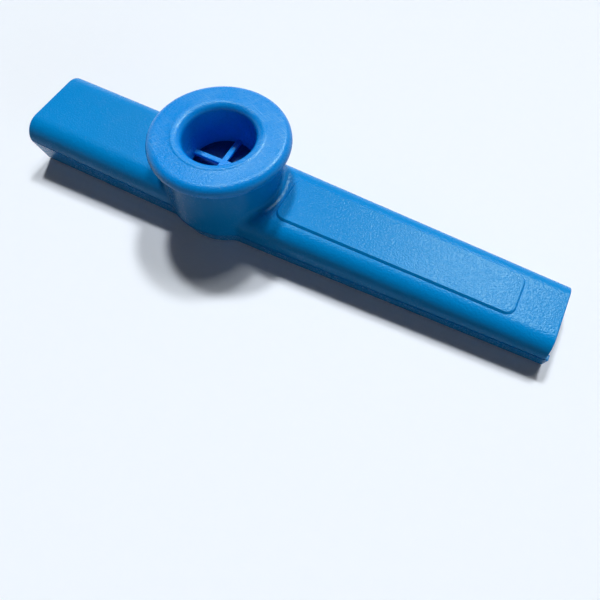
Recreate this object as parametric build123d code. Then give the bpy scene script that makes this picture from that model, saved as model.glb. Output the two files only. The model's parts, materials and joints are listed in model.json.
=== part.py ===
"""Moulded plastic kazoo: two body shells, a push-in turret cap, and a film on a ring.

Millimetres, +Z up. The origin is the middle of the underside, +X runs along the body to the long
end, and the turret stands on the short half with its axis along Z.
"""

from build123d import *
import os

# Body: an even channel up to the turret, from where it narrows to the long end
body_length = 120.8
body_width = 20.4
long_end_width = 16.7
short_end_height = 12.1
long_end_height = 8.2
upper_edge_radius = 4.2
long_end_edge_radius = 3.4
floor_edge_radius = 1.0
wall_draft_share = 0.26
end_edge_radius = 0.3
upper_setback = 0.65
wall = 1.4

# Seam between the shells: it falls along the short stretch and runs level along the long one
short_end_seam_height = 7.8
long_end_seam_height = 4.5
seam_groove_width = 0.36
seam_groove_depth = 0.25
lip_height = 0.9
lip_thickness = 0.55
lip_clearance = 0.08

# Turret drum, moulded with the shells
turret_from_short_end = 46.0
drum_foot_diameter = 25.8
drum_top_diameter = 24.6
drum_wall = 1.3
drum_blend_radius = 1.7
dish_blend_radius = 3.0
dish_draft_share = 0.4
ledge_height = 11.5
ledge_thickness = 1.3
sound_hole_diameter = 16.4

# Cap: rim, plug, bore and guard cross
turret_height = 21.6
rim_diameter = 29.4
rim_thickness = 2.5
rim_upper_radius = 0.9
rim_lower_radius = 0.4
rim_dish_depth = 0.25
bore_diameter = 15.2
bore_foot_diameter = 13.6
bore_lip_radius = 1.8
plug_clearance = 0.1
plug_lead_in = 0.5
cross_lift = 0.1
cross_bar_width = 1.1
cross_bar_height = 0.9
cross_edge_radius = 0.3

# Membrane: a film let into the underside of a flat ring
ring_height = 1.0
ring_width = 2.0
ring_clearance = 0.25
film_thickness = 0.15
film_overlap = 1.0
film_clearance = 0.1

# Raised panel on the long stretch, with bevelled edges
panel_height = 0.45
panel_turret_width = 11.6
panel_end_width = 10.0
panel_end_margin = 9.2
panel_turret_gap = 0.35
panel_corner_radius = 2.2
panel_bevel = 0.38

# One overrun serves every cut, and one tolerance every search for edges
overrun = 1.0
tolerance = 0.05

short_end_x = -body_length / 2
long_end_x = body_length / 2
turret_x = short_end_x + turret_from_short_end
drum_foot_radius = drum_foot_diameter / 2
drum_top_radius = drum_top_diameter / 2
drum_top = turret_height - rim_thickness
socket_radius = drum_top_radius - drum_wall
plug_radius = socket_radius - plug_clearance
plug_bottom = ledge_height + ring_height
cross_bottom = plug_bottom + cross_lift
bore_radius = bore_diameter / 2
bore_foot_radius = bore_foot_diameter / 2
rim_radius = rim_diameter / 2
ring_radius = socket_radius - ring_clearance
film_radius = ring_radius - ring_width + film_overlap
seam_bend_x = turret_x + drum_foot_radius
lower_rise = short_end_seam_height + lip_height + overrun


def narrowed_share_at(x):
    """Share of the narrowing that is reached at a station: none up to the turret, all at the long end."""
    return max(0, (x - turret_x) / (long_end_x - turret_x))


def half_width_at(x):
    """Half the body's width at a station along it."""
    return (body_width + (long_end_width - body_width) * narrowed_share_at(x)) / 2


def edge_radius_at(x):
    """Radius of the body's round upper edges at a station along it."""
    return upper_edge_radius + (long_end_edge_radius - upper_edge_radius) * narrowed_share_at(x)


def top_at(x):
    """Height of the body's flat top at a station along it."""
    passed_share = (x - short_end_x) / body_length
    return short_end_height + (long_end_height - short_end_height) * passed_share


def seam_at(x):
    """Height of the seam at a station along the body."""
    fallen_share = min(1, (x - short_end_x) / (seam_bend_x - short_end_x))
    return short_end_seam_height + (long_end_seam_height - short_end_seam_height) * fallen_share


def floor_at(x):
    """Height of the underside at a station along the body."""
    return 0


def drum_radius_at(height):
    """Radius of the drum above the seam: it leans in towards its top."""
    risen_share = (height - seam_at(turret_x)) / (drum_top - seam_at(turret_x))
    return drum_foot_radius + (drum_top_radius - drum_foot_radius) * risen_share


def dish_radius_at(height):
    """Radius of the drum's dish below the seam: it leans in towards the floor."""
    return drum_foot_radius - dish_draft_share * max(0, seam_at(turret_x) - height)


def drum_distance(point):
    """Distance of a point from the turret's axis."""
    return (point - Vector(turret_x, 0, point.Z)).length


def edge_points(edge):
    """Both ends and the middle of an edge."""
    return [edge.position_at(step_share) for step_share in (0, 0.5, 1)]


def body_plan(stretch):
    """Plan outline of body and drum, blended at the notches and run past both ends by a stretch."""
    stations = (short_end_x - stretch, turret_x, long_end_x + stretch)
    near_side = [(x, -half_width_at(x)) for x in stations]
    far_side = [(x, half_width_at(x)) for x in reversed(stations)]
    channel = make_face(Polyline(*near_side, *far_side, close=True))
    plan = channel + Pos(turret_x, 0) * Circle(drum_foot_radius)
    notches = [v for v in plan.vertices() if abs(drum_distance(v.center()) - drum_foot_radius) < tolerance]
    return fillet(notches, radius=drum_blend_radius)


def open_plan(margin):
    """Plan of the hollow at a margin inside the body's walls, open at both ends."""
    return offset(body_plan(wall + overrun), amount=-margin)


def layer(outline, low, high):
    """Plan outline extruded between two heights."""
    return Pos(0, 0, low) * extrude(outline, high - low)


def turret_cylinder(radius, low, high):
    """Upright cylinder on the turret's axis between two heights."""
    return layer(Pos(turret_x, 0) * Circle(radius), low, high)


def turned_block(wall_line):
    """Solid turned about the turret's axis inside a line of radii and heights."""
    bottom = (0, wall_line[0][1])
    top = (0, wall_line[-1][1])
    profile = make_face(Plane.XZ * Polyline(bottom, *wall_line, top, close=True))
    return Pos(turret_x, 0, 0) * revolve(profile, Axis.Z)


def drum_block(inset, high):
    """Leaning drum from the ground to a height, shrunk by an inset."""
    return turned_block([(drum_radius_at(z) - inset, z) for z in (0, high)])


def slab_along(line_at, low, high):
    """Slab that follows a line along the body, between two heights measured from it."""
    stations = (short_end_x - overrun, seam_bend_x, long_end_x + overrun)
    lower_line = [(x, line_at(x) + low) for x in stations]
    upper_line = [(x, line_at(x) + high) for x in reversed(stations)]
    side = make_face(Plane.XZ * Polyline(*lower_line, *upper_line, close=True))
    return extrude(side, rim_radius, both=True)


def seam_slab(low, high):
    """Slab that follows the seam between two heights measured from it."""
    return slab_along(seam_at, low, high)


def upper_section(x, inset):
    """Section of the body at a station, shrunk by an inset, with round upper corners only."""
    width = 2 * (half_width_at(x) - inset)
    outline = Rectangle(width, top_at(x) - inset, align=(Align.CENTER, Align.MIN))
    outline = fillet(outline.vertices().group_by(Axis.Y)[-1], radius=edge_radius_at(x) - inset)
    return Plane.YZ.offset(x) * outline


def upper_block(inset, stretch):
    """Solid through the sections at the turret and both ends, run past the ends by a stretch."""
    stations = (short_end_x - stretch, turret_x, long_end_x - upper_setback + stretch)
    return loft([upper_section(x, inset) for x in stations], ruled=True)


def lower_section(x, inset):
    """Section of the lower half, shrunk by an inset: walls that lean in from the seam to the floor."""
    half = half_width_at(x) - inset
    floor_half = half - wall_draft_share * (seam_at(x) - inset)
    right_side = [(floor_half, inset), (half, seam_at(x)), (half, lower_rise)]
    left_side = [(-y, z) for y, z in reversed(right_side)]
    return Plane.YZ.offset(x) * make_face(Polyline(*right_side, *left_side, close=True))


def lower_block(inset, stretch):
    """Lower channel with the drum's dish, run past both ends by a stretch."""
    stations = (short_end_x - stretch, turret_x, seam_bend_x, long_end_x + stretch)
    channel = loft([lower_section(x, inset) for x in stations], ruled=True)
    dish_heights = (inset, seam_at(turret_x), lower_rise)
    return channel + turned_block([(dish_radius_at(z) - inset, z) for z in dish_heights])


def blend_drum_foot(form):
    """Blend the drum into the top and sides of the upper half."""
    foot = []
    for edge in form.edges():
        points = edge_points(edge)
        on_drum = all(abs(drum_distance(p) - drum_radius_at(p.Z)) < tolerance for p in points)
        off_axis = max(abs(p.Y) for p in points) > tolerance
        at_seam = all(p.Z < seam_at(p.X) + tolerance for p in points)
        if on_drum and off_axis and not at_seam and points[1].Z < drum_top - tolerance:
            foot.append(edge)
    return fillet(foot, radius=drum_blend_radius)


def blend_drum_dish(form):
    """Blend the drum's dish into the leaning walls of the lower half."""
    notches = []
    for edge in form.edges():
        points = edge_points(edge)
        on_dish = all(abs(drum_distance(p) - dish_radius_at(p.Z)) < tolerance for p in points)
        heights = [p.Z for p in points]
        if on_dish and min(heights) < tolerance < max(heights):
            notches.append(edge)
    return fillet(notches, radius=dish_blend_radius)


def round_ends(form, open_side_at):
    """Round the outer edges of both end faces, except along the side that stays open."""
    end_stations = (form.bounding_box().min.X, form.bounding_box().max.X)
    end_edges = []
    for edge in form.edges():
        points = edge_points(edge)
        at_end = any(all(abs(p.X - x) < tolerance for p in points) for x in end_stations)
        at_open_side = all(abs(p.Z - open_side_at(p.X)) < tolerance for p in points)
        if at_end and not at_open_side:
            end_edges.append(edge)
    return fillet(end_edges, radius=end_edge_radius)


def round_floor(form):
    """Round the long edges of the underside, leaving the edges at its two ends."""
    floor_edges = form.faces().sort_by(Axis.Z)[0].edges()
    sides = [edge for edge in floor_edges if abs(edge.position_at(0.5).X) < long_end_x - tolerance]
    return fillet(sides, radius=floor_edge_radius)


def seam_groove():
    """Fine groove that runs along the seam on the outside of both shells."""
    plan = body_plan(0)
    band = offset(plan, amount=overrun) - offset(plan, amount=-seam_groove_depth)
    return layer(band, 0, drum_top) & seam_slab(-seam_groove_width / 2, seam_groove_width / 2)


def make_panel():
    """Raised panel with round corners and bevelled edges along the sloping top of the long stretch."""
    start_x = turret_x + drum_radius_at(top_at(turret_x)) + drum_blend_radius + panel_turret_gap
    end_x = long_end_x - panel_end_margin
    near_side = [(start_x, -panel_turret_width / 2), (end_x, -panel_end_width / 2)]
    far_side = [(x, -y) for x, y in reversed(near_side)]
    outline = make_face(Polyline(*near_side, *far_side, close=True))
    outline = fillet(outline.vertices(), radius=panel_corner_radius)
    panel = layer(outline, 0, drum_top) & slab_along(top_at, -wall / 2, panel_height)
    return chamfer(panel.faces().sort_by(Axis.Z)[-1].edges(), length=panel_bevel)


def make_upper_shell():
    """Upper half of the body with its drum, ledge, raised panel and the rebate for the lip."""
    form = round_ends(upper_block(0, 0), floor_at) + drum_block(0, drum_top)
    form = blend_drum_foot(form & seam_slab(0, turret_height)) + make_panel()
    form = form - upper_block(wall, overrun)
    form = form - drum_block(wall, ledge_height - ledge_thickness)
    form = form - turret_cylinder(sound_hole_diameter / 2, 0, drum_top)
    form = form - turret_cylinder(socket_radius, ledge_height, drum_top)
    rebate = layer(open_plan(wall - lip_thickness - lip_clearance), 0, drum_top)
    form = form - (rebate & seam_slab(-overrun, lip_height + lip_clearance))
    return form - seam_groove()


def make_lower_shell():
    """Lower half with leaning walls, a round-edged floor and the locating lip along its walls."""
    form = lower_block(0, 0) & seam_slab(-lower_rise, 0)
    form = round_ends(round_floor(blend_drum_dish(form)), seam_at)
    lip = layer(open_plan(wall - lip_thickness) & body_plan(-upper_setback), 0, lower_rise)
    form = form + (lip & seam_slab(-lip_height, lip_height))
    return form - lower_block(wall, overrun) - seam_groove()


def cap_profile():
    """Half section of the cap: tapering bore, wide round lip, dished rim, flange edge and plug."""
    lip_low = (bore_radius, turret_height - bore_lip_radius)
    lip_high = (bore_radius + bore_lip_radius, turret_height)
    edge_high = (rim_radius - rim_upper_radius, turret_height)
    edge_low = (rim_radius, turret_height - rim_upper_radius)
    under_high = (rim_radius, drum_top + rim_lower_radius)
    under_low = (rim_radius - rim_lower_radius, drum_top)
    dish = ((lip_high[0] + edge_high[0]) / 2, turret_height - rim_dish_depth)
    plug = Polyline(
        under_low,
        (plug_radius, drum_top),
        (plug_radius, plug_bottom + plug_lead_in),
        (plug_radius - plug_lead_in, plug_bottom),
        (bore_foot_radius, plug_bottom),
        lip_low,
    )
    outline = Curve([
        RadiusArc(lip_low, lip_high, bore_lip_radius),
        ThreePointArc(lip_high, dish, edge_high),
        RadiusArc(edge_high, edge_low, rim_upper_radius),
        Line(edge_low, under_high),
        RadiusArc(under_high, under_low, rim_lower_radius),
        plug,
    ])
    return make_face(Plane.XZ * outline)


def make_turret_cap():
    """Push-in cap: the revolved rim and plug with the guard cross across its bore."""
    cap = revolve(cap_profile(), Axis.Z)
    span = bore_foot_radius + plug_radius
    bar = Box(span, cross_bar_width, cross_bar_height)
    bar = fillet(bar.faces().sort_by(Axis.Z)[-1].edges().filter_by(Axis.X), radius=cross_edge_radius)
    bar = Pos(0, 0, cross_bottom + cross_bar_height / 2) * bar
    return Pos(turret_x, 0, 0) * (cap + bar + Rot(0, 0, 90) * bar)


def make_membrane_ring():
    """Flat ring with a shallow rebate in its underside for the film."""
    ring = turret_cylinder(ring_radius, ledge_height, ledge_height + ring_height)
    ring = ring - turret_cylinder(ring_radius - ring_width, 0, turret_height)
    return ring - turret_cylinder(film_radius + film_clearance, 0, ledge_height + film_thickness)


def make_membrane_film():
    """Thin round film held in the ring's rebate."""
    return turret_cylinder(film_radius, ledge_height, ledge_height + film_thickness)


def main():
    """Build every piece and write it to its own file."""
    pieces = {
        "upper_shell": make_upper_shell(),
        "lower_shell": make_lower_shell(),
        "turret_cap": make_turret_cap(),
        "membrane_ring": make_membrane_ring(),
        "membrane_film": make_membrane_film(),
    }
    os.makedirs("parts", exist_ok=True)
    for name, piece in pieces.items():
        export_step(piece, os.path.join("parts", name + ".step"))
        print(name, round(piece.volume, 2), len(piece.solids()), piece.is_valid)


if __name__ == "__main__":
    main()
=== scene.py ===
"""Moulded plastic kazoo on a pale table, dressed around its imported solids.

Sizes in the classes are millimetres in the part's own frame: the origin is the middle of the
underside, +X runs along the body to the long end and +Z is up along the turret's axis. They turn
to metres where a mesh, a pattern or the camera is made.
"""

import json
import logging
import math
from dataclasses import dataclass
from enum import Enum
from typing import Any

import bmesh
import bpy
from mathutils import Matrix, Vector

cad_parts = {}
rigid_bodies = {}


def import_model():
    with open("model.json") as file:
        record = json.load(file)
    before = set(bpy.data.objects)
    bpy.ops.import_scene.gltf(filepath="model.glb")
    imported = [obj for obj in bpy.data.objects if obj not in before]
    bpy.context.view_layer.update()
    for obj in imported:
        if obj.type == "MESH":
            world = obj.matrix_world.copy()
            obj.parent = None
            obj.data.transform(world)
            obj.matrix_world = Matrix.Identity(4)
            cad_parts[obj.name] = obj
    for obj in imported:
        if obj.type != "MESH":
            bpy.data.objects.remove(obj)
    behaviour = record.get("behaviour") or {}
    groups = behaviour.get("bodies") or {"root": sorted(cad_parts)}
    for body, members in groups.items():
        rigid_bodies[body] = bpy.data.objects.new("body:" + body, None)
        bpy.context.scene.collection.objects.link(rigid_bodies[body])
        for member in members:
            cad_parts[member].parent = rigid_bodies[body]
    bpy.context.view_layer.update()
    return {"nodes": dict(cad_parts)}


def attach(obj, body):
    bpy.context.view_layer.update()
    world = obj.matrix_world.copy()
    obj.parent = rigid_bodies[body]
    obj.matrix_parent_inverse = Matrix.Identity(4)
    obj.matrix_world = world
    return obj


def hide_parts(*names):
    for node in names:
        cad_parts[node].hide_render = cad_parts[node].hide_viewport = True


for leftover in list(bpy.data.objects):
    bpy.data.objects.remove(leftover)
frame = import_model()

MM = 0.001
# Edges that turn by more than this stay sharp in the shading.
CREASE_DEGREES = 32
# Points nearer than this are one point where a turned section closes.
WELD_MM = 0.002
BAR_EDGE_STEPS = 6
# Share of the free radius from which the film's crinkles die away to the ring.
CRINKLE_END = 0.75

Tree = bpy.types.NodeTree
Socket = bpy.types.NodeSocket
Corner = tuple[float, float, float]

log = logging.getLogger("kazoo")


class Body(Enum):
    """Bodies that the pieces ride on."""

    SHELLS = "body"
    CAP = "cap"
    MEMBRANE = "membrane"


class Shine(Enum):
    """What a lamp gives: its soft light alone or its gloss alone."""

    SOFT = "soft"
    GLOSS = "gloss"


class Slot(Enum):
    """Material slots of the part's record for the cap, ring and film."""

    CAP = "cap_plastic"
    RING = "ring_plastic"
    FILM = "film"


def linear(hex_colour: str) -> tuple[float, float, float, float]:
    """Turn an sRGB hex colour to linear light.

    Args:
        hex_colour: Colour as "#rrggbb".

    Returns:
        Red, green and blue in linear light, with full alpha.
    """
    channels = []
    for start in (1, 3, 5):
        value = int(hex_colour[start:start + 2], 16) / 255
        channels.append(value / 12.92 if value <= 0.04045 else ((value + 0.055) / 1.055) ** 2.4)
    return (*channels, 1.0)


def add_node(tree: Tree, kind: str, inputs: dict | None = None, **settings: Any) -> bpy.types.Node:
    """Add one node with its settings, values and links.

    Args:
        tree: Tree that gets the node.
        kind: Type name of the node.
        inputs: Value, or output socket to link, for each input by name or index.
        settings: Properties of the node itself.

    Returns:
        The new node.
    """
    node = tree.nodes.new(kind)
    for name, value in settings.items():
        setattr(node, name, value)
    for socket, value in (inputs or {}).items():
        if isinstance(value, Socket):
            tree.links.new(value, node.inputs[socket])
        else:
            node.inputs[socket].default_value = value
    return node


def new_material(name: str) -> bpy.types.Material:
    """Make an empty material with nodes.

    Args:
        name: Name of the real material and of how its surface was made.

    Returns:
        The material, with no nodes in it yet.
    """
    material = bpy.data.materials.new(name)
    material.use_nodes = True
    material.node_tree.nodes.clear()
    return material


def finish_material(material: bpy.types.Material, inputs: dict) -> bpy.types.Material:
    """Close a material with its shader and output.

    Args:
        material: Material whose pattern nodes are in place.
        inputs: Values and links for the shader.

    Returns:
        The same material.
    """
    tree = material.node_tree
    shader = add_node(tree, "ShaderNodeBsdfPrincipled", inputs)
    add_node(tree, "ShaderNodeOutputMaterial", {"Surface": shader.outputs["BSDF"]})
    return material


@dataclass(frozen=True)
class MouldedPolystyrene:
    """Blue polystyrene from the mould: eroded grain, flow marks and fine scuffs.

    The eye sees a saturated blue without depth, a soft sheen broken into sparkles by the grain,
    and pale hair scratches where the toy has rubbed against others.
    """

    name: str
    colour: str
    flow_colour: str
    scuff_colour: str
    smooth_roughness: float
    rough_roughness: float
    grain_depth_mm: float
    scuff_share: float
    sheen_level: float
    sheen_colour: str = "#d2fff0"
    ior: float = 1.59
    # Real erosion pits are about 0.05 mm; they are drawn coarser so that they show at this size.
    grain_mm: float = 0.36
    flow_mm: float = 9.0
    patch_mm: float = 5.0
    scuff_length_mm: float = 3.2
    scuff_width_mm: float = 0.16
    scuff_turns: tuple[float, float] = (24.0, -52.0)
    # Levels of the streaks' noise at which a scratch starts and is full, and of the worn patches'.
    scuff_start: float = 0.66
    scuff_edge: float = 0.06
    worn_start: float = 0.42
    worn_full: float = 0.7
    # Heights of a face's normal at which rubbing and grain start and are full, and the share of the
    # grain that the sides keep.
    rubbed_start: float = 0.8
    rubbed_full: float = 0.97
    grain_start: float = 0.5
    grain_full: float = 0.95
    side_grain: float = 0.2
    # Shares of grain and patches in the roughness, and the range that they spread it over.
    grain_share: float = 0.6
    patch_share: float = 0.4
    sheen_start: float = 0.3
    sheen_full: float = 0.75

    def scuffs(self, tree: Tree, place: Socket, turn: float) -> Socket:
        """Draw one family of hair scratches.

        Args:
            tree: Node tree of the material.
            place: Object coordinates.
            turn: Angle of the scratches about the vertical, in degrees.

        Returns:
            Mask that is one on a scratch.
        """
        sizes = (self.scuff_length_mm, self.scuff_width_mm, self.patch_mm)
        turned = add_node(tree, "ShaderNodeMapping", {
            "Vector": place, "Rotation": (0, 0, math.radians(turn))})
        stretched = add_node(tree, "ShaderNodeMapping", {
            "Vector": turned.outputs["Vector"], "Scale": [1 / (size * MM) for size in sizes]})
        streaks = add_node(tree, "ShaderNodeTexNoise", {
            "Vector": stretched.outputs["Vector"], "Scale": 1.0, "Detail": 1.0})
        mask = add_node(tree, "ShaderNodeMapRange", {
            "Value": streaks.outputs["Fac"], "From Min": self.scuff_start,
            "From Max": self.scuff_start + self.scuff_edge, "To Min": 0.0, "To Max": 1.0})
        return mask.outputs["Result"]

    def wear(self, tree: Tree, place: Socket, patches: Socket, height: Socket) -> Socket:
        """Keep the scratches to worn patches on faces that others rub.

        Args:
            tree: Node tree of the material.
            place: Object coordinates.
            patches: Noise of the worn patches.
            height: Height of the face's normal.

        Returns:
            Share of the scuff colour.
        """
        first, second = (self.scuffs(tree, place, turn) for turn in self.scuff_turns)
        both = add_node(tree, "ShaderNodeMath", {0: first, 1: second}, operation="MAXIMUM")
        worn_patch = add_node(tree, "ShaderNodeMapRange", {
            "Value": patches, "From Min": self.worn_start, "From Max": self.worn_full,
            "To Min": 0.0, "To Max": self.scuff_share})
        rubbed = add_node(tree, "ShaderNodeMapRange", {
            "Value": height, "From Min": self.rubbed_start, "From Max": self.rubbed_full,
            "To Min": 0.0, "To Max": 1.0})
        reached = add_node(tree, "ShaderNodeMath", {
            0: worn_patch.outputs["Result"], 1: rubbed.outputs["Result"]}, operation="MULTIPLY")
        worn = add_node(tree, "ShaderNodeMath", {
            0: both.outputs[0], 1: reached.outputs[0]}, operation="MULTIPLY")
        return worn.outputs[0]

    def material(self) -> bpy.types.Material:
        """Build the material.

        Returns:
            Material with colour, scratches, broken sheen and grain.
        """
        made = new_material(self.name)
        tree = made.node_tree
        place = add_node(tree, "ShaderNodeTexCoord").outputs["Object"]
        normal = add_node(tree, "ShaderNodeNewGeometry").outputs["Normal"]
        height = add_node(tree, "ShaderNodeSeparateXYZ", {0: normal}).outputs["Z"]
        flow = add_node(tree, "ShaderNodeTexNoise", {
            "Vector": place, "Scale": 1 / (self.flow_mm * MM), "Detail": 3.0})
        patches = add_node(tree, "ShaderNodeTexNoise", {
            "Vector": place, "Scale": 1 / (self.patch_mm * MM), "Detail": 4.0})
        grain = add_node(tree, "ShaderNodeTexNoise", {
            "Vector": place, "Scale": 1 / (self.grain_mm * MM), "Detail": 1.0})
        worn = self.wear(tree, place, patches.outputs["Fac"], height)
        tint = add_node(tree, "ShaderNodeMix", {
            "Factor": flow.outputs["Fac"], 6: linear(self.colour),
            7: linear(self.flow_colour)}, data_type="RGBA")
        scuffed = add_node(tree, "ShaderNodeMix", {
            "Factor": worn, 6: tint.outputs[2], 7: linear(self.scuff_colour)}, data_type="RGBA")
        broken = add_node(tree, "ShaderNodeMath", {
            0: grain.outputs["Fac"], 1: self.grain_share, 2: worn}, operation="MULTIPLY_ADD")
        patchy = add_node(tree, "ShaderNodeMath", {
            0: patches.outputs["Fac"], 1: self.patch_share,
            2: broken.outputs[0]}, operation="MULTIPLY_ADD")
        roughness = add_node(tree, "ShaderNodeMapRange", {
            "Value": patchy.outputs[0], "From Min": self.sheen_start, "From Max": self.sheen_full,
            "To Min": self.smooth_roughness, "To Max": self.rough_roughness})
        drawn = add_node(tree, "ShaderNodeMapRange", {
            "Value": height, "From Min": self.grain_start, "From Max": self.grain_full,
            "To Min": self.side_grain, "To Max": 1.0})
        bump = add_node(tree, "ShaderNodeBump", {
            "Height": grain.outputs["Fac"], "Distance": self.grain_depth_mm * MM,
            "Strength": drawn.outputs["Result"]})
        return finish_material(made, {
            "Base Color": scuffed.outputs[2], "Roughness": roughness.outputs["Result"],
            "Normal": bump.outputs["Normal"], "IOR": self.ior,
            "Specular IOR Level": self.sheen_level, "Specular Tint": linear(self.sheen_colour)})


@dataclass(frozen=True)
class ClearFilm:
    """Clear polypropylene film, cast thin: nearly unseen but for sharp glints on its crinkles. Its
    blue colour is painted light that stands in for the glow of the blue plastic around and under
    it.
    """

    name: str = "clear_polypropylene_film_cast"
    # Painted light: the film itself is clear, and this blue stands in for the glow of the blue
    # plastic around and under it.
    colour: str = "#3567bd"
    haze_share: float = 0.3
    ior: float = 1.49
    crease_mm: float = 1.6
    crease_depth_mm: float = 0.05
    # Levels of the creases' noise at which haze starts and is full.
    haze_start: float = 0.3
    haze_full: float = 0.7
    clear_roughness: float = 0.05
    hazy_roughness: float = 0.16

    def material(self) -> bpy.types.Material:
        """Build the material.

        Returns:
            Material that lets most light through.
        """
        made = new_material(self.name)
        tree = made.node_tree
        place = add_node(tree, "ShaderNodeTexCoord").outputs["Object"]
        crease = add_node(tree, "ShaderNodeTexNoise", {
            "Vector": place, "Scale": 1 / (self.crease_mm * MM), "Detail": 2.0})
        haze = add_node(tree, "ShaderNodeMapRange", {
            "Value": crease.outputs["Fac"], "From Min": self.haze_start, "From Max": self.haze_full,
            "To Min": self.clear_roughness, "To Max": self.hazy_roughness})
        bump = add_node(tree, "ShaderNodeBump", {
            "Height": crease.outputs["Fac"], "Distance": self.crease_depth_mm * MM,
            "Strength": 1.0})
        made.surface_render_method = "BLENDED"
        return finish_material(made, {
            "Base Color": linear(self.colour), "Roughness": haze.outputs["Result"],
            "Alpha": self.haze_share, "Normal": bump.outputs["Normal"], "IOR": self.ior})


@dataclass(frozen=True)
class PaleTable:
    """Matt white laminate: a faint bluish white with barely visible print mottle.

    The eye sees it pale, but it throws back less soft light than that, as a small board in a dim
    room does.
    """

    name: str = "white_laminate_matt"
    colour: str = "#eef6ff"
    mottle_colour: str = "#f0f7ff"
    bounce_colour: str = "#8a8d91"
    mottle_mm: float = 2.5
    roughness: float = 0.6
    sheen_level: float = 0.1

    def material(self) -> bpy.types.Material:
        """Build the material.

        Returns:
            Material that is darker to soft light that bounces off it.
        """
        made = new_material(self.name)
        tree = made.node_tree
        place = add_node(tree, "ShaderNodeTexCoord").outputs["Object"]
        mottle = add_node(tree, "ShaderNodeTexNoise", {
            "Vector": place, "Scale": 1 / (self.mottle_mm * MM), "Detail": 4.0})
        tint = add_node(tree, "ShaderNodeMix", {
            "Factor": mottle.outputs["Fac"], 6: linear(self.colour),
            7: linear(self.mottle_colour)}, data_type="RGBA")
        bounced = add_node(tree, "ShaderNodeLightPath").outputs["Is Diffuse Ray"]
        seen = add_node(tree, "ShaderNodeMix", {
            "Factor": bounced, 6: tint.outputs[2],
            7: linear(self.bounce_colour)}, data_type="RGBA")
        return finish_material(made, {
            "Base Color": seen.outputs[2], "Roughness": self.roughness,
            "Specular IOR Level": self.sheen_level})


SHELL_FINISH = MouldedPolystyrene(
    name="blue_polystyrene_spark_eroded", colour="#0086d2", flow_colour="#008ad6",
    scuff_colour="#7fc4f2", smooth_roughness=0.23, rough_roughness=0.3, grain_depth_mm=0.072,
    scuff_share=0.1, sheen_level=0.1)
CAP_FINISH = MouldedPolystyrene(
    name="blue_polystyrene_satin", colour="#008ae4", flow_colour="#008ee8",
    scuff_colour="#9cd2f8", smooth_roughness=0.22, rough_roughness=0.4, grain_depth_mm=0.07,
    scuff_share=0.36, sheen_level=0.27, scuff_start=0.59)
RING_FINISH = MouldedPolystyrene(
    name="navy_polystyrene_satin", colour="#003f8c", flow_colour="#004494",
    scuff_colour="#3f7fc0", smooth_roughness=0.3, rough_roughness=0.45, grain_depth_mm=0.01,
    scuff_share=0.1, sheen_level=0.3)


def new_tree(name: str, sizes: dict[str, str]) -> tuple[Tree, bpy.types.Node]:
    """Start a Geometry Nodes tree with named inputs.

    Args:
        name: Name of the tree.
        sizes: Socket type of each named input after the geometry.

    Returns:
        The tree and its input node.
    """
    tree = bpy.data.node_groups.new(name, "GeometryNodeTree")
    tree.interface.new_socket("Geometry", in_out="INPUT", socket_type="NodeSocketGeometry")
    for label, kind in sizes.items():
        tree.interface.new_socket(label, in_out="INPUT", socket_type="NodeSocket" + kind)
    tree.interface.new_socket("Geometry", in_out="OUTPUT", socket_type="NodeSocketGeometry")
    return tree, add_node(tree, "NodeGroupInput")


def end_tree(tree: Tree, geometry: Socket, material: Socket) -> None:
    """Close a tree with soft shading, real geometry and its material.

    Args:
        tree: Tree to close.
        geometry: Output socket that carries the finished shape.
        material: Input socket that carries the material.
    """
    real = add_node(tree, "GeometryNodeRealizeInstances", {"Geometry": geometry})
    soft = add_node(tree, "GeometryNodeSetShadeSmooth", {0: real.outputs[0], "Shade Smooth": True})
    angle = add_node(tree, "GeometryNodeInputMeshEdgeAngle")
    crease = add_node(tree, "FunctionNodeCompare", {
        "A": angle.outputs["Unsigned Angle"], "B": math.radians(CREASE_DEGREES)},
        data_type="FLOAT", operation="GREATER_THAN")
    creased = add_node(tree, "GeometryNodeSetShadeSmooth", {
        0: soft.outputs[0], "Selection": crease.outputs[0], "Shade Smooth": False}, domain="EDGE")
    dressed = add_node(tree, "GeometryNodeSetMaterial", {
        0: creased.outputs[0], "Material": material})
    add_node(tree, "NodeGroupOutput", {0: dressed.outputs[0]})


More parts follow.
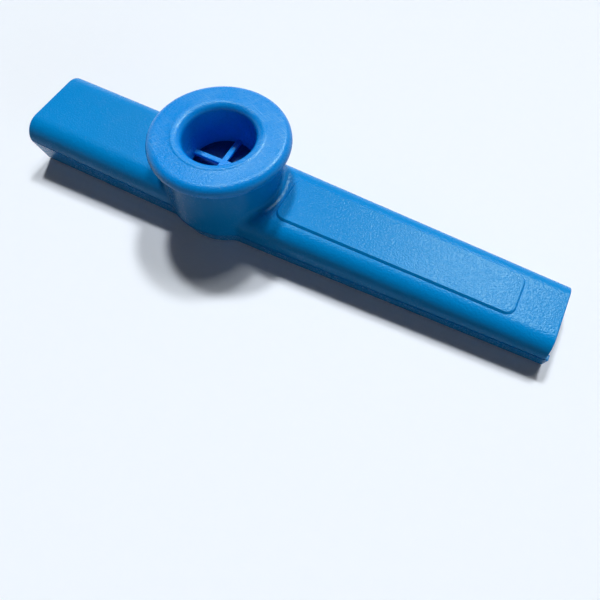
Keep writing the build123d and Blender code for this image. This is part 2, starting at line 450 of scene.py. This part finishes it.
def turning_tree() -> Tree:
    """Build the tree that turns a half section about the turret's axis.

    Returns:
        Tree whose geometry is a line of section points in the XZ plane, each with a corner radius.
    """
    tree, sizes = new_tree("turn_about_turret", {
        "Axis X": "Float", "Turning Radius": "Float", "Segments": "Int", "Corner Steps": "Int",
        "Section Step": "Float", "Material": "Material"})
    section = add_node(tree, "GeometryNodeMeshToCurve", {0: sizes.outputs["Geometry"]})
    position = add_node(tree, "GeometryNodeInputPosition").outputs[0]
    place = add_node(tree, "ShaderNodeSeparateXYZ", {0: position})
    inward = add_node(tree, "ShaderNodeMath", {
        0: place.outputs["X"], 1: sizes.outputs["Turning Radius"]}, operation="SUBTRACT")
    downward = add_node(tree, "ShaderNodeMath", {
        0: place.outputs["Z"], 1: -1.0}, operation="MULTIPLY")
    laid = add_node(tree, "ShaderNodeCombineXYZ", {
        "X": inward.outputs[0], "Y": downward.outputs[0]})
    flat = add_node(tree, "GeometryNodeSetPosition", {
        0: section.outputs[0], "Position": laid.outputs[0]})
    corner = add_node(tree, "GeometryNodeInputNamedAttribute", {
        "Name": "corner_radius"}, data_type="FLOAT")
    rounded = add_node(tree, "GeometryNodeFilletCurve", {
        "Curve": flat.outputs[0], "Count": sizes.outputs["Corner Steps"],
        "Radius": corner.outputs["Attribute"], "Limit Radius": True}, mode="POLY")
    even = add_node(tree, "GeometryNodeResampleCurve", {
        "Curve": rounded.outputs[0], "Length": sizes.outputs["Section Step"]}, mode="LENGTH")
    path = add_node(tree, "GeometryNodeCurvePrimitiveCircle", {
        "Resolution": sizes.outputs["Segments"],
        "Radius": sizes.outputs["Turning Radius"]}, mode="RADIUS")
    turned = add_node(tree, "GeometryNodeCurveToMesh", {
        "Curve": path.outputs[0], "Profile Curve": even.outputs[0]})
    closed = add_node(tree, "GeometryNodeMergeByDistance", {
        0: turned.outputs[0], "Distance": WELD_MM * MM})
    spot = add_node(tree, "ShaderNodeCombineXYZ", {"X": sizes.outputs["Axis X"]})
    moved = add_node(tree, "GeometryNodeTransform", {
        0: closed.outputs[0], "Translation": spot.outputs[0]})
    end_tree(tree, moved.outputs[0], sizes.outputs["Material"])
    return tree


def guard_tree() -> Tree:
    """Build the tree that joins evenly turned guard bars to the cap.

    Returns:
        Tree whose geometry is the turned cap.
    """
    tree, sizes = new_tree("guard_bars", {
        "Axis X": "Float", "Bars": "Int", "Length": "Float", "Width": "Float", "Height": "Float",
        "Edge Radius": "Float", "Middle Height": "Float", "Material": "Material"})
    outline = add_node(tree, "GeometryNodeCurvePrimitiveQuadrilateral", {
        "Width": sizes.outputs["Width"], "Height": sizes.outputs["Height"]}, mode="RECTANGLE")
    edge = add_node(tree, "GeometryNodeFilletCurve", {
        "Curve": outline.outputs[0], "Count": BAR_EDGE_STEPS,
        "Radius": sizes.outputs["Edge Radius"], "Limit Radius": True}, mode="POLY")
    half = add_node(tree, "ShaderNodeMath", {
        0: sizes.outputs["Length"], 1: 0.5}, operation="MULTIPLY")
    back = add_node(tree, "ShaderNodeMath", {
        0: sizes.outputs["Length"], 1: -0.5}, operation="MULTIPLY")
    near = add_node(tree, "ShaderNodeCombineXYZ", {"X": back.outputs[0]})
    far = add_node(tree, "ShaderNodeCombineXYZ", {"X": half.outputs[0]})
    line = add_node(tree, "GeometryNodeCurvePrimitiveLine", {
        "Start": near.outputs[0], "End": far.outputs[0]}, mode="POINTS")
    bar = add_node(tree, "GeometryNodeCurveToMesh", {
        "Curve": line.outputs[0], "Profile Curve": edge.outputs[0], "Fill Caps": True})
    middle = add_node(tree, "ShaderNodeCombineXYZ", {
        "X": sizes.outputs["Axis X"], "Z": sizes.outputs["Middle Height"]})
    spots = add_node(tree, "GeometryNodePoints", {
        "Count": sizes.outputs["Bars"], "Position": middle.outputs[0]})
    index = add_node(tree, "GeometryNodeInputIndex").outputs[0]
    share = add_node(tree, "ShaderNodeMath", {
        0: index, 1: sizes.outputs["Bars"]}, operation="DIVIDE")
    turn = add_node(tree, "ShaderNodeMath", {0: share.outputs[0], 1: math.pi}, operation="MULTIPLY")
    heading = add_node(tree, "ShaderNodeCombineXYZ", {"Z": turn.outputs[0]})
    bars = add_node(tree, "GeometryNodeInstanceOnPoints", {
        "Points": spots.outputs[0], "Instance": bar.outputs[0], "Rotation": heading.outputs[0]})
    real = add_node(tree, "GeometryNodeRealizeInstances", {"Geometry": bars.outputs[0]})
    joined = add_node(tree, "GeometryNodeMeshBoolean", operation="UNION", solver="EXACT")
    tree.links.new(sizes.outputs["Geometry"], joined.inputs["Mesh 2"])
    tree.links.new(real.outputs[0], joined.inputs["Mesh 2"])
    joined.inputs["Self Intersection"].default_value = True
    end_tree(tree, joined.outputs[0], sizes.outputs["Material"])
    return tree


def crinkle_tree() -> Tree:
    """Build the tree that crinkles the film inside the ring that holds it.

    Returns:
        Tree whose geometry is the flat film.
    """
    tree, sizes = new_tree("film_crinkle", {
        "Axis X": "Float", "Free Radius": "Float", "Depth": "Float", "Crinkle": "Float",
        "Seed": "Float", "Material": "Material"})
    place = add_node(tree, "GeometryNodeInputPosition")
    spot = add_node(tree, "ShaderNodeCombineXYZ", {"X": sizes.outputs["Axis X"]})
    arm = add_node(tree, "ShaderNodeVectorMath", {
        0: place.outputs[0], 1: spot.outputs[0]}, operation="SUBTRACT")
    plan = add_node(tree, "ShaderNodeVectorMath", {
        0: arm.outputs[0], 1: (1, 1, 0)}, operation="MULTIPLY")
    reach = add_node(tree, "ShaderNodeVectorMath", {0: plan.outputs[0]}, operation="LENGTH")
    share = add_node(tree, "ShaderNodeMath", {
        0: reach.outputs["Value"], 1: sizes.outputs["Free Radius"]}, operation="DIVIDE")
    free = add_node(tree, "ShaderNodeMapRange", {
        "Value": share.outputs[0], "From Min": CRINKLE_END, "From Max": 1.0,
        "To Min": 1.0, "To Max": 0.0}, interpolation_type="SMOOTHSTEP")
    fineness = add_node(tree, "ShaderNodeMath", {
        0: 1.0, 1: sizes.outputs["Crinkle"]}, operation="DIVIDE")
    folds = add_node(tree, "ShaderNodeTexNoise", {
        "Vector": plan.outputs[0], "W": sizes.outputs["Seed"], "Scale": fineness.outputs[0],
        "Detail": 1.0}, noise_dimensions="4D")
    centred = add_node(tree, "ShaderNodeMath", {
        0: folds.outputs["Fac"], 1: 0.5}, operation="SUBTRACT")
    deep = add_node(tree, "ShaderNodeMath", {
        0: centred.outputs[0], 1: sizes.outputs["Depth"]}, operation="MULTIPLY")
    held = add_node(tree, "ShaderNodeMath", {
        0: deep.outputs[0], 1: free.outputs["Result"]}, operation="MULTIPLY")
    lift = add_node(tree, "ShaderNodeCombineXYZ", {"Z": held.outputs[0]})
    moved = add_node(tree, "GeometryNodeSetPosition", {
        0: sizes.outputs["Geometry"], "Offset": lift.outputs[0]})
    end_tree(tree, moved.outputs[0], sizes.outputs["Material"])
    return tree


def section_object(name: str, corners: list[Corner], closed: bool) -> bpy.types.Object:
    """Lay out a half section as a line of points for the turning tree.

    Args:
        name: Name of the piece.
        corners: Radius, height and corner radius of each corner, in millimetres.
        closed: Whether the section closes on itself, clear of the axis.

    Returns:
        Object that holds the line.
    """
    count = len(corners)
    edges = [(i, (i + 1) % count) for i in range(count if closed else count - 1)]
    mesh = bpy.data.meshes.new(name)
    mesh.from_pydata([(r * MM, 0.0, z * MM) for r, z, _ in corners], edges, [])
    rounding = mesh.attributes.new("corner_radius", "FLOAT", "POINT")
    rounding.data.foreach_set("value", [radius * MM for _, _, radius in corners])
    piece = bpy.data.objects.new(name, mesh)
    bpy.context.scene.collection.objects.link(piece)
    return piece


def grow(piece: bpy.types.Object, tree: Tree, values: dict[str, Any]) -> None:
    """Put a tree on a piece and set its named inputs.

    Args:
        piece: Piece that gets the tree as a modifier.
        tree: Geometry Nodes tree.
        values: Value for each named input.
    """
    modifier = piece.modifiers.new(tree.name, "NODES")
    modifier.node_group = tree
    for socket in tree.interface.items_tree:
        if socket.in_out == "INPUT" and socket.name in values:
            modifier[socket.identifier] = values[socket.name]


def settle(piece: bpy.types.Object) -> None:
    """Turn a grown piece to a plain mesh whose faces point outwards.

    Args:
        piece: Piece whose modifiers make its shape.
    """
    graph = bpy.context.evaluated_depsgraph_get()
    mesh = bpy.data.meshes.new_from_object(piece.evaluated_get(graph), depsgraph=graph)
    piece.modifiers.clear()
    piece.data = mesh
    work = bmesh.new()
    work.from_mesh(mesh)
    bmesh.ops.recalc_face_normals(work, faces=work.faces)
    work.to_mesh(mesh)
    work.free()
    mesh.name = piece.name


def hand_over(piece: bpy.types.Object, body: Body, node: str) -> None:
    """Attach a finished piece to the body it rides on and hide the solid that it stands for.

    Args:
        piece: Finished piece.
        body: Body that it moves with.
        node: Solid that it replaces.
    """
    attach(piece, body.value)
    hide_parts(node)
    faces = len(piece.data.polygons)
    log.info("%s: %d faces, rides on %s, replaces %s", piece.name, faces, body.value, node)


@dataclass
class BodyShells:
    """The two moulded shells, whose solids are right and stay, in their moulded finish."""

    nodes: tuple[str, ...] = ("upper_shell", "lower_shell")

    def dress(self) -> None:
        """Give both shells the moulded finish."""
        material = SHELL_FINISH.material()
        for node in self.nodes:
            shell = frame["nodes"][node]
            shell.data.materials.clear()
            shell.data.materials.append(material)
            log.info("%s: solid kept, rides on %s", node, Body.SHELLS.value)


@dataclass
class TurretCap:
    """Push-in cap: a turned rim and plug with two guard bars across its bore."""

    axis_x: float = -14.4
    top: float = 21.6
    flange_under: float = 19.1
    plug_bottom: float = 12.5
    rim_radius: float = 14.7
    rim_upper_radius: float = 1.75
    rim_lower_radius: float = 0.4
    rim_fall: float = 0.26
    dish_depth: float = 0.04
    dish_outer: float = 12.85
    dish_inner: float = 9.62
    dish_steps: int = 8
    dish_corner_radius: float = 0.12
    bead_depth: float = 0.1
    bead_radius: float = 0.1
    bore_radius: float = 7.6
    bore_foot_radius: float = 6.8
    bore_foot_edge: float = 0.12
    lip_radius: float = 1.8
    plug_radius: float = 10.9
    plug_edge: float = 0.1
    neck_edge: float = 0.08
    lead_in: float = 0.5
    bars: int = 2
    bar_length: float = 17.7
    bar_width: float = 1.3
    bar_height: float = 0.9
    bar_edge_radius: float = 0.3
    bar_middle: float = 13.05
    segments: int = 180
    corner_steps: int = 8
    section_step: float = 0.16

    def rim_slope(self) -> float:
        """Tell how far the rim falls on from the dish to its outer edge."""
        dish_fall = (self.rim_fall - self.bead_depth) / (self.dish_outer - self.dish_inner)
        return dish_fall * (self.rim_radius - self.dish_outer)

    def dish(self) -> list[Corner]:
        """List the corners of the rim's shallow dish, from the outside to the bore's bead.

        Returns:
            Radius, height and corner radius of each corner.
        """
        half_span = (self.dish_outer - self.dish_inner) / 2
        middle = (self.dish_outer + self.dish_inner) / 2
        corners = []
        for step in range(self.dish_steps + 1):
            share = 1 - 2 * step / self.dish_steps
            fallen = self.bead_depth + (self.rim_fall - self.bead_depth) * (1 + share) / 2
            height = self.top - fallen - self.dish_depth * (1 - share * share)
            corners.append((middle + half_span * share, height, self.dish_corner_radius))
        return corners

    def corners(self) -> list[Corner]:
        """List the half section's corners from the bore's foot round the plug and rim.

        Returns:
            Radius, height and corner radius of each corner.
        """
        rim_edge = self.top - self.rim_fall - self.rim_slope()
        return [
            (self.bore_foot_radius, self.plug_bottom, self.bore_foot_edge),
            (self.plug_radius - self.lead_in, self.plug_bottom, self.plug_edge),
            (self.plug_radius, self.plug_bottom + self.lead_in, self.plug_edge),
            (self.plug_radius, self.flange_under, self.neck_edge),
            (self.rim_radius, self.flange_under, self.rim_lower_radius),
            (self.rim_radius, rim_edge, self.rim_upper_radius),
            *self.dish(),
            (self.dish_inner - self.bead_radius, self.top, self.bead_radius),
            (self.bore_radius, self.top, self.lip_radius),
        ]

    def build(self) -> bpy.types.Object:
        """Turn the rim and plug, join the guard bars and hand the cap over.

        Returns:
            The finished cap.
        """
        material = CAP_FINISH.material()
        cap = section_object("turret_cap_turned", self.corners(), closed=True)
        grow(cap, turning_tree(), {
            "Axis X": self.axis_x * MM, "Turning Radius": self.plug_radius * MM,
            "Segments": self.segments, "Corner Steps": self.corner_steps,
            "Section Step": self.section_step * MM, "Material": material})
        grow(cap, guard_tree(), {
            "Axis X": self.axis_x * MM, "Bars": self.bars, "Length": self.bar_length * MM,
            "Width": self.bar_width * MM, "Height": self.bar_height * MM,
            "Edge Radius": self.bar_edge_radius * MM, "Middle Height": self.bar_middle * MM,
            "Material": material})
        settle(cap)
        hand_over(cap, Body.CAP, "turret_cap")
        return cap


@dataclass
class Membrane:
    """The buzzing film and the flat ring that holds it on the ledge."""

    axis_x: float = -14.4
    ledge: float = 11.5
    ring_top: float = 12.5
    ring_radius: float = 10.75
    ring_bore: float = 8.75
    ring_upper_edge: float = 0.2
    ring_lower_edge: float = 0.12
    rebate_radius: float = 9.85
    fine_edge: float = 0.04
    film_radius: float = 9.75
    film_thickness: float = 0.15
    free_radius: float = 8.1
    crinkle_depth: float = 0.8
    crinkle: float = 3.4
    seed: float = 2.1
    segments: int = 144
    corner_steps: int = 5
    section_step: float = 0.15

    def turn(self, name: str, corners: list[Corner], closed: bool,
             material: bpy.types.Material) -> bpy.types.Object:
        """Turn one of the two pieces.

        Args:
            name: Name of the piece.
            corners: Its half section.
            closed: Whether the section closes on itself.
            material: Its finish.

        Returns:
            The piece with its turning tree.
        """
        piece = section_object(name, corners, closed)
        grow(piece, turning_tree(), {
            "Axis X": self.axis_x * MM, "Turning Radius": self.film_radius * MM,
            "Segments": self.segments, "Corner Steps": self.corner_steps,
            "Section Step": self.section_step * MM, "Material": material})
        return piece

    def build_ring(self) -> bpy.types.Object:
        """Turn the ring with the rebate for the film and hand it over.

        Returns:
            The finished ring.
        """
        rebate_top = self.ledge + self.film_thickness
        ring = self.turn("membrane_ring_turned", [
            (self.ring_bore, rebate_top, self.fine_edge),
            (self.rebate_radius, rebate_top, self.fine_edge),
            (self.rebate_radius, self.ledge, self.fine_edge),
            (self.ring_radius, self.ledge, self.ring_lower_edge),
            (self.ring_radius, self.ring_top, self.ring_upper_edge),
            (self.ring_bore, self.ring_top, self.ring_upper_edge),
        ], True, RING_FINISH.material())
        settle(ring)
        hand_over(ring, Body.MEMBRANE, "membrane_ring")
        return ring

    def build_film(self) -> bpy.types.Object:
        """Turn the film, crinkle it inside the ring's bore and hand it over.

        Returns:
            The finished film.
        """
        material = ClearFilm().material()
        film_top = self.ledge + self.film_thickness
        film = self.turn("membrane_film_crinkled", [
            (0.0, self.ledge, 0.0),
            (self.film_radius, self.ledge, self.fine_edge),
            (self.film_radius, film_top, self.fine_edge),
            (0.0, film_top, 0.0),
        ], False, material)
        grow(film, crinkle_tree(), {
            "Axis X": self.axis_x * MM, "Free Radius": self.free_radius * MM,
            "Depth": self.crinkle_depth * MM, "Crinkle": self.crinkle * MM, "Seed": self.seed,
            "Material": material})
        settle(film)
        hand_over(film, Body.MEMBRANE, "membrane_film")
        return film


@dataclass(frozen=True)
class DistantLamp:
    """One distant lamp, told by how far it slants along X and Y from the vertical."""

    name: str
    shine: Shine
    strength: float
    width_degrees: float
    slant: tuple[float, float]

    def hang(self) -> None:
        """Hang the lamp as a sun that fills a small disc of the sky."""
        lamp = bpy.data.lights.new(self.name, "SUN")
        lamp.energy = self.strength
        lamp.angle = math.radians(self.width_degrees)
        holder = bpy.data.objects.new(self.name, lamp)
        toward = Vector((*self.slant, 1.0))
        holder.rotation_euler = toward.to_track_quat("Z", "Y").to_euler()
        holder.visible_diffuse = self.shine is Shine.SOFT
        holder.visible_glossy = self.shine is Shine.GLOSS
        bpy.context.scene.collection.objects.link(holder)


# Three panes of a window behind the table, whose shadows lie over each other in front of the
# kazoo, then what the grain and the rim mirror: the wide window, its left part and the sky beside
# it, and last the weak light that the wall in front gives back.
LAMPS = (
    DistantLamp("middle_pane", Shine.SOFT, strength=1.33, width_degrees=7.0, slant=(0.0, 0.615)),
    DistantLamp("left_pane", Shine.SOFT, strength=1.66, width_degrees=7.0, slant=(-0.29, 0.44)),
    DistantLamp("right_pane", Shine.SOFT, strength=0.45, width_degrees=9.0, slant=(0.15, 0.475)),
    DistantLamp("wide_window", Shine.GLOSS, strength=2.4, width_degrees=13.0, slant=(0.12, 0.71)),
    DistantLamp("left_window", Shine.GLOSS, strength=0.22, width_degrees=10.0, slant=(-0.5, 0.8)),
    DistantLamp("left_sky", Shine.GLOSS, strength=1.0, width_degrees=10.0, slant=(-0.31, 0.33)),
    DistantLamp("front_wall", Shine.SOFT, strength=0.5, width_degrees=30.0, slant=(7.0, -3.3)),
)


@dataclass
class Studio:
    """Pale table, light from the panes of a window, and the camera."""

    table_radius: float = 2500.0
    table_segments: int = 96
    table_drop: float = 0.02
    ambient: float = 0.035
    ambient_colour: str = "#fff0d8"
    backdrop_colour: str = "#f4f8ff"
    # Heights in the sky between which the pale backdrop fades to the dim room.
    backdrop_top: float = 0.25
    room_start: float = 0.5
    camera_place: tuple[float, float, float] = (37.67, -65.57, 102.46)
    camera_forward: tuple[float, float, float] = (-0.2223, 0.4273, -0.8763)
    camera_right: tuple[float, float, float] = (0.8901, 0.4558, -0.0035)
    camera_near: float = 1.0
    lens: float = 33.6
    sensor: float = 36.0

    def lay_table(self) -> bpy.types.Object:
        """Lay the round table top just under the kazoo.

        Returns:
            The table top, marked as stage.
        """
        mesh = bpy.data.meshes.new("table_top")
        work = bmesh.new()
        bmesh.ops.create_circle(
            work, cap_ends=True, segments=self.table_segments, radius=self.table_radius * MM)
        bmesh.ops.translate(work, verts=work.verts, vec=(0, 0, -self.table_drop * MM))
        work.to_mesh(mesh)
        work.free()
        mesh.materials.append(PaleTable().material())
        table = bpy.data.objects.new("table_top", mesh)
        bpy.context.scene.collection.objects.link(table)
        return table

    def fill_room(self) -> None:
        """Fill the room with a little even light and put a pale horizon behind the table."""
        world = bpy.data.worlds.new("pale_room")
        bpy.context.scene.world = world
        world.use_nodes = True
        tree = world.node_tree
        tree.nodes.clear()
        rays = add_node(tree, "ShaderNodeLightPath")
        seen = add_node(tree, "ShaderNodeMath", {
            0: rays.outputs["Is Camera Ray"], 1: rays.outputs["Is Glossy Ray"]}, operation="ADD")
        seen_through = add_node(tree, "ShaderNodeMath", {
            0: seen.outputs[0], 1: rays.outputs["Is Transmission Ray"]},
            operation="ADD", use_clamp=True)
        toward = add_node(tree, "ShaderNodeTexCoord").outputs["Generated"]
        height = add_node(tree, "ShaderNodeSeparateXYZ", {0: toward}).outputs["Z"]
        horizon = add_node(tree, "ShaderNodeMapRange", {
            "Value": height, "From Min": self.backdrop_top, "From Max": self.room_start,
            "To Min": 1.0, "To Max": self.ambient}, interpolation_type="SMOOTHSTEP")
        even = add_node(tree, "ShaderNodeBackground", {
            "Color": linear(self.ambient_colour), "Strength": self.ambient})
        backdrop = add_node(tree, "ShaderNodeBackground", {
            "Color": linear(self.backdrop_colour), "Strength": horizon.outputs["Result"]})
        room = add_node(tree, "ShaderNodeMixShader", {
            0: seen_through.outputs[0], 1: even.outputs[0], 2: backdrop.outputs[0]})
        add_node(tree, "ShaderNodeOutputWorld", {"Surface": room.outputs[0]})

    def place_camera(self) -> None:
        """Put the camera at the photograph's viewing angle."""
        forward = Vector(self.camera_forward).normalized()
        right = Vector(self.camera_right)
        right = (right - right.dot(forward) * forward).normalized()
        up = right.cross(forward)
        lens = bpy.data.cameras.new("camera")
        lens.lens = self.lens
        lens.sensor_width = self.sensor
        lens.clip_start = self.camera_near * MM
        camera = bpy.data.objects.new("camera", lens)
        pose = Matrix((right, up, -forward)).transposed().to_4x4()
        pose.translation = Vector(self.camera_place) * MM
        camera.matrix_world = pose
        bpy.context.scene.collection.objects.link(camera)
        bpy.context.scene.camera = camera

    def build(self) -> None:
        """Set up the table, lamps, room and camera."""
        bpy.context.scene.view_settings.view_transform = "Standard"
        self.lay_table()
        for lamp in LAMPS:
            lamp.hang()
        self.fill_room()
        self.place_camera()
        log.info("studio: table, %d lamps, room and camera", len(LAMPS))


def main() -> None:
    """Build and dress every sub-assembly in order."""
    logging.basicConfig(level=logging.INFO, format="%(name)s: %(message)s")
    BodyShells().dress()
    TurretCap().build()
    membrane = Membrane()
    membrane.build_ring()
    membrane.build_film()
    Studio().build()


if __name__ == "__main__":
    main()
